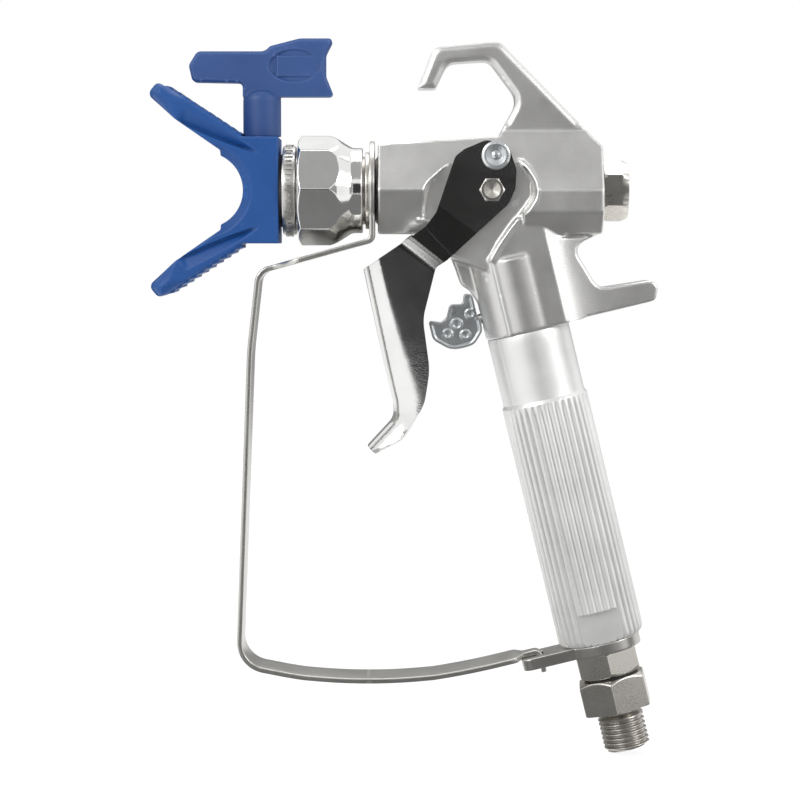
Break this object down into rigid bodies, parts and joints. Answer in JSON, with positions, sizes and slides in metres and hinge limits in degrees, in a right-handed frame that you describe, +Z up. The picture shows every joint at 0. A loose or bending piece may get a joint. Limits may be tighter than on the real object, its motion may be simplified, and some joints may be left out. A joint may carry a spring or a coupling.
{
  "type": "airless paint spray gun",
  "caption": "Airless paint spray gun with a forged body, squeeze trigger, winged tip guard, reversible tip, strap finger guard, trigger lock and a swivelling hose stud.",
  "frame": {"origin": "middle of the hose thread's end face, at the foot of the handle", "axes": "+Z up with the barrel level, -X toward the nozzle, Y across the gun"},
  "size_m": [0.1464, 0.0318, 0.2089],
  "materials": {
    "cast_aluminium": "satin, fine blasted",
    "grip_aluminium": "satin, fluted",
    "chrome": "bright plated",
    "plated_steel": "satin plated",
    "stainless": "machined",
    "zinc": "die cast",
    "carbide": "ground",
    "guard_plastic": "moulded",
    "tip_plastic": "moulded",
    "inner_plastic": "moulded",
    "seal_rubber": "matte"
  },
  "bodies": {
    "gun": {"gun_body": "cast_aluminium", "end_cap": "stainless", "end_cap_gasket": "seal_rubber", "packing_front": "seal_rubber", "packing_rear": "seal_rubber", "diffuser": "stainless", "valve_seat": "carbide", "diffuser_gasket": "seal_rubber", "retaining_nut": "chrome", "trigger_guard": "plated_steel", "guard_bracket": "plated_steel", "handle_tube": "grip_aluminium", "handle_seal": "seal_rubber", "filter_screen": "stainless", "filter_cap_upper": "inner_plastic", "filter_cap_lower": "inner_plastic", "inlet_fitting": "stainless", "pivot_bolt": "plated_steel", "pivot_nut": "plated_steel"},
    "trigger_set": {"trigger": "chrome", "actuator_pin": "plated_steel", "actuator_nut": "plated_steel"},
    "needle": {"needle_rod": "stainless", "needle_ball": "carbide", "needle_spring": "stainless"},
    "lock": {"trigger_lock": "zinc", "lock_pin": "plated_steel"},
    "guard": {"tip_guard": "guard_plastic", "guard_collar": "plated_steel", "guard_seal": "seal_rubber", "seat_seal": "seal_rubber"},
    "tip": {"tip_handle": "tip_plastic", "tip_barrel": "stainless", "tip_orifice": "carbide"},
    "swivel": {"swivel_stud": "stainless", "swivel_washer": "seal_rubber"}
  },
  "joints": [
    {"name": "trigger_pull", "type": "hinge", "parent": "gun", "child": "trigger_set", "pos_m": [-0.03986, 0, 0.17331], "axis": [0, -1, 0], "range_deg": [0, 14], "stiffness_Nm_per_rad": 2, "springref_deg": -17.19},
    {"name": "needle_slide", "type": "slide", "parent": "gun", "child": "needle", "axis": [1, 0, 0], "range_m": [0, 0.0025], "deforming": ["needle_spring"]},
    {"name": "lock_turn", "type": "hinge", "parent": "gun", "child": "lock", "pos_m": [-0.0315, 0, 0.12922], "axis": [0.9715, 0, 0.2368], "range_deg": [-90, 0]},
    {"name": "guard_turn", "type": "hinge", "parent": "gun", "child": "guard", "pos_m": [-0.08986, 0, 0.16351], "axis": [1, 0, 0], "range_deg": [-90, 90]},
    {"name": "tip_turn", "type": "hinge", "parent": "guard", "child": "tip", "pos_m": [-0.10726, 0, 0.16351], "axis": [0, 0, 1], "range_deg": [0, 180]},
    {"name": "hose_swivel", "type": "hinge", "parent": "gun", "child": "swivel", "pos_m": [0, 0, 0], "axis": [0.2368, 0, -0.9715], "continuous": true}
  ],
  "couplings": [
    {"joint": "needle_slide", "follows": "trigger_pull", "m_per_rad": 0.0098}
  ]
}
